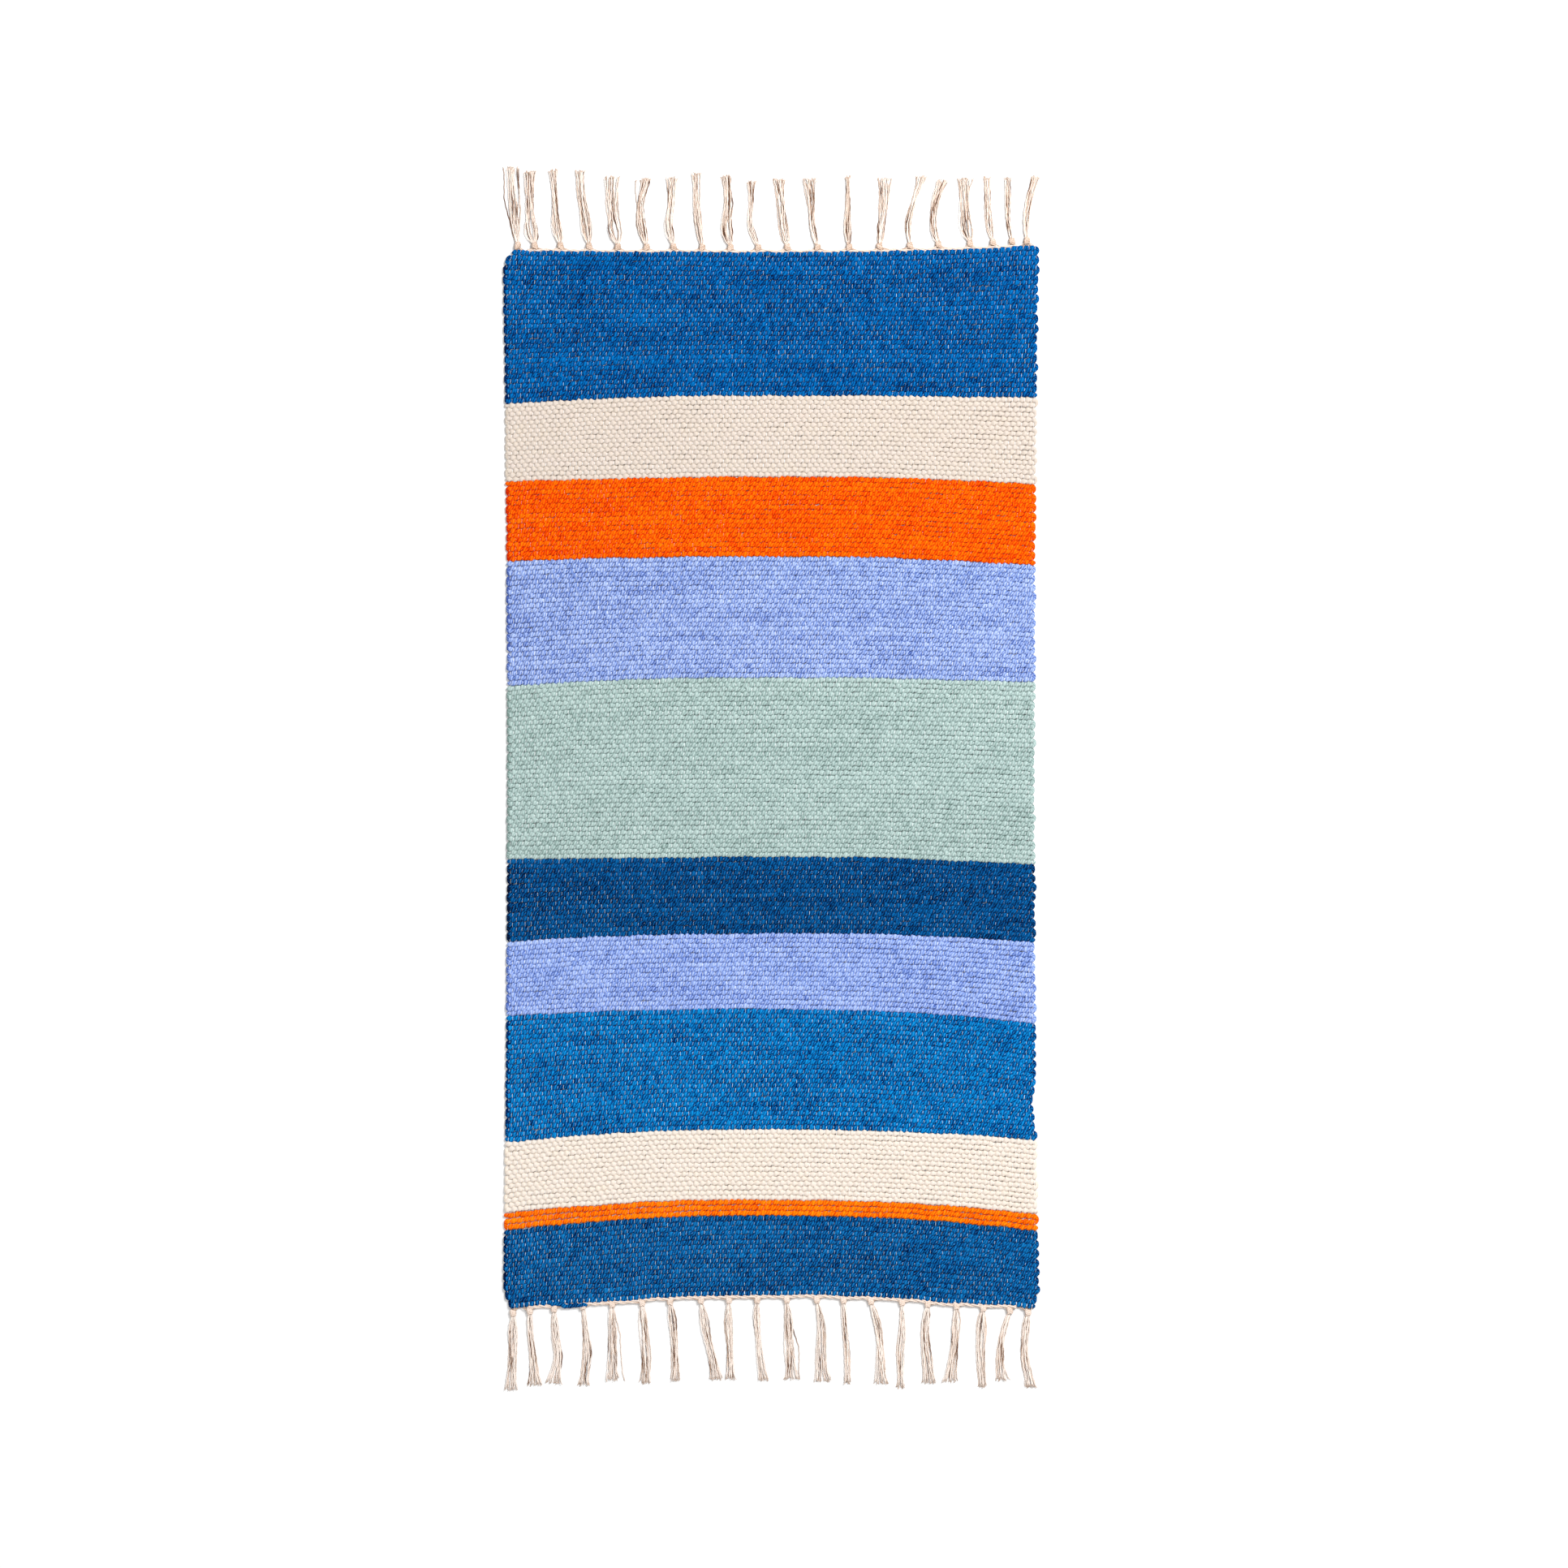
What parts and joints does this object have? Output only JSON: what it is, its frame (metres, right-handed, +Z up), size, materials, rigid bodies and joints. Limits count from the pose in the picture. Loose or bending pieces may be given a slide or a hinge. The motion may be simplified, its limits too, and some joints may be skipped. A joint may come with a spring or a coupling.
{
  "type": "runner rug",
  "caption": "Flat-woven runner rug with broad arched weft bands and knotted tassel fringes; it folds over near its middle and the fringes fold back.",
  "frame": {"origin": "middle of the rug on the surface it lies on", "axes": "+X across the rug to the right, +Y along it towards the royal blue end, +Z up out of its face"},
  "size_m": [0.7049, 1.606, 0.006],
  "materials": {
    "royal_blue_weft": "matte",
    "cream_weft": "matte",
    "orange_weft": "matte",
    "periwinkle_weft": "matte",
    "sage_weft": "matte",
    "navy_weft": "matte",
    "deep_blue_weft": "matte",
    "cotton_warp": "matte"
  },
  "bodies": {
    "far_field": {"band_01_royal_blue": "royal_blue_weft", "band_02_cream": "cream_weft", "band_03_orange": "orange_weft", "band_04_periwinkle": "periwinkle_weft", "band_05_sage": "sage_weft", "far_knot_row": "cotton_warp"},
    "near_field": {"band_06_navy": "navy_weft", "band_07_periwinkle": "periwinkle_weft", "band_08_royal_blue": "royal_blue_weft", "band_09_cream": "cream_weft", "band_10_orange": "orange_weft", "band_11_deep_blue": "deep_blue_weft", "near_knot_row": "cotton_warp"},
    "far_fringe": {"far_tassel_01": "cotton_warp", "far_tassel_02": "cotton_warp", "far_tassel_03": "cotton_warp", "far_tassel_04": "cotton_warp", "far_tassel_05": "cotton_warp", "far_tassel_06": "cotton_warp", "far_tassel_07": "cotton_warp", "far_tassel_08": "cotton_warp", "far_tassel_09": "cotton_warp", "far_tassel_10": "cotton_warp", "far_tassel_11": "cotton_warp", "far_tassel_12": "cotton_warp", "far_tassel_13": "cotton_warp", "far_tassel_14": "cotton_warp", "far_tassel_15": "cotton_warp", "far_tassel_16": "cotton_warp", "far_tassel_17": "cotton_warp", "far_tassel_18": "cotton_warp", "far_tassel_19": "cotton_warp", "far_tassel_20": "cotton_warp"},
    "near_fringe": {"near_tassel_01": "cotton_warp", "near_tassel_02": "cotton_warp", "near_tassel_03": "cotton_warp", "near_tassel_04": "cotton_warp", "near_tassel_05": "cotton_warp", "near_tassel_06": "cotton_warp", "near_tassel_07": "cotton_warp", "near_tassel_08": "cotton_warp", "near_tassel_09": "cotton_warp", "near_tassel_10": "cotton_warp", "near_tassel_11": "cotton_warp", "near_tassel_12": "cotton_warp", "near_tassel_13": "cotton_warp", "near_tassel_14": "cotton_warp", "near_tassel_15": "cotton_warp", "near_tassel_16": "cotton_warp", "near_tassel_17": "cotton_warp", "near_tassel_18": "cotton_warp", "near_tassel_19": "cotton_warp", "near_tassel_20": "cotton_warp"}
  },
  "joints": [
    {"name": "rug_fold", "type": "hinge", "parent": "far_field", "child": "near_field", "pos_m": [0, -0.107, 0.0072], "axis": [-1, 0, 0], "range_deg": [0, 178]},
    {"name": "far_fringe_flip", "type": "hinge", "parent": "far_field", "child": "far_fringe", "pos_m": [0, 0.7125, 0.0056], "axis": [1, 0, 0], "range_deg": [0, 178]},
    {"name": "near_fringe_flip", "type": "hinge", "parent": "near_field", "child": "near_fringe", "pos_m": [0, -0.708, 0.0056], "axis": [-1, 0, 0], "range_deg": [0, 178]}
  ]
}
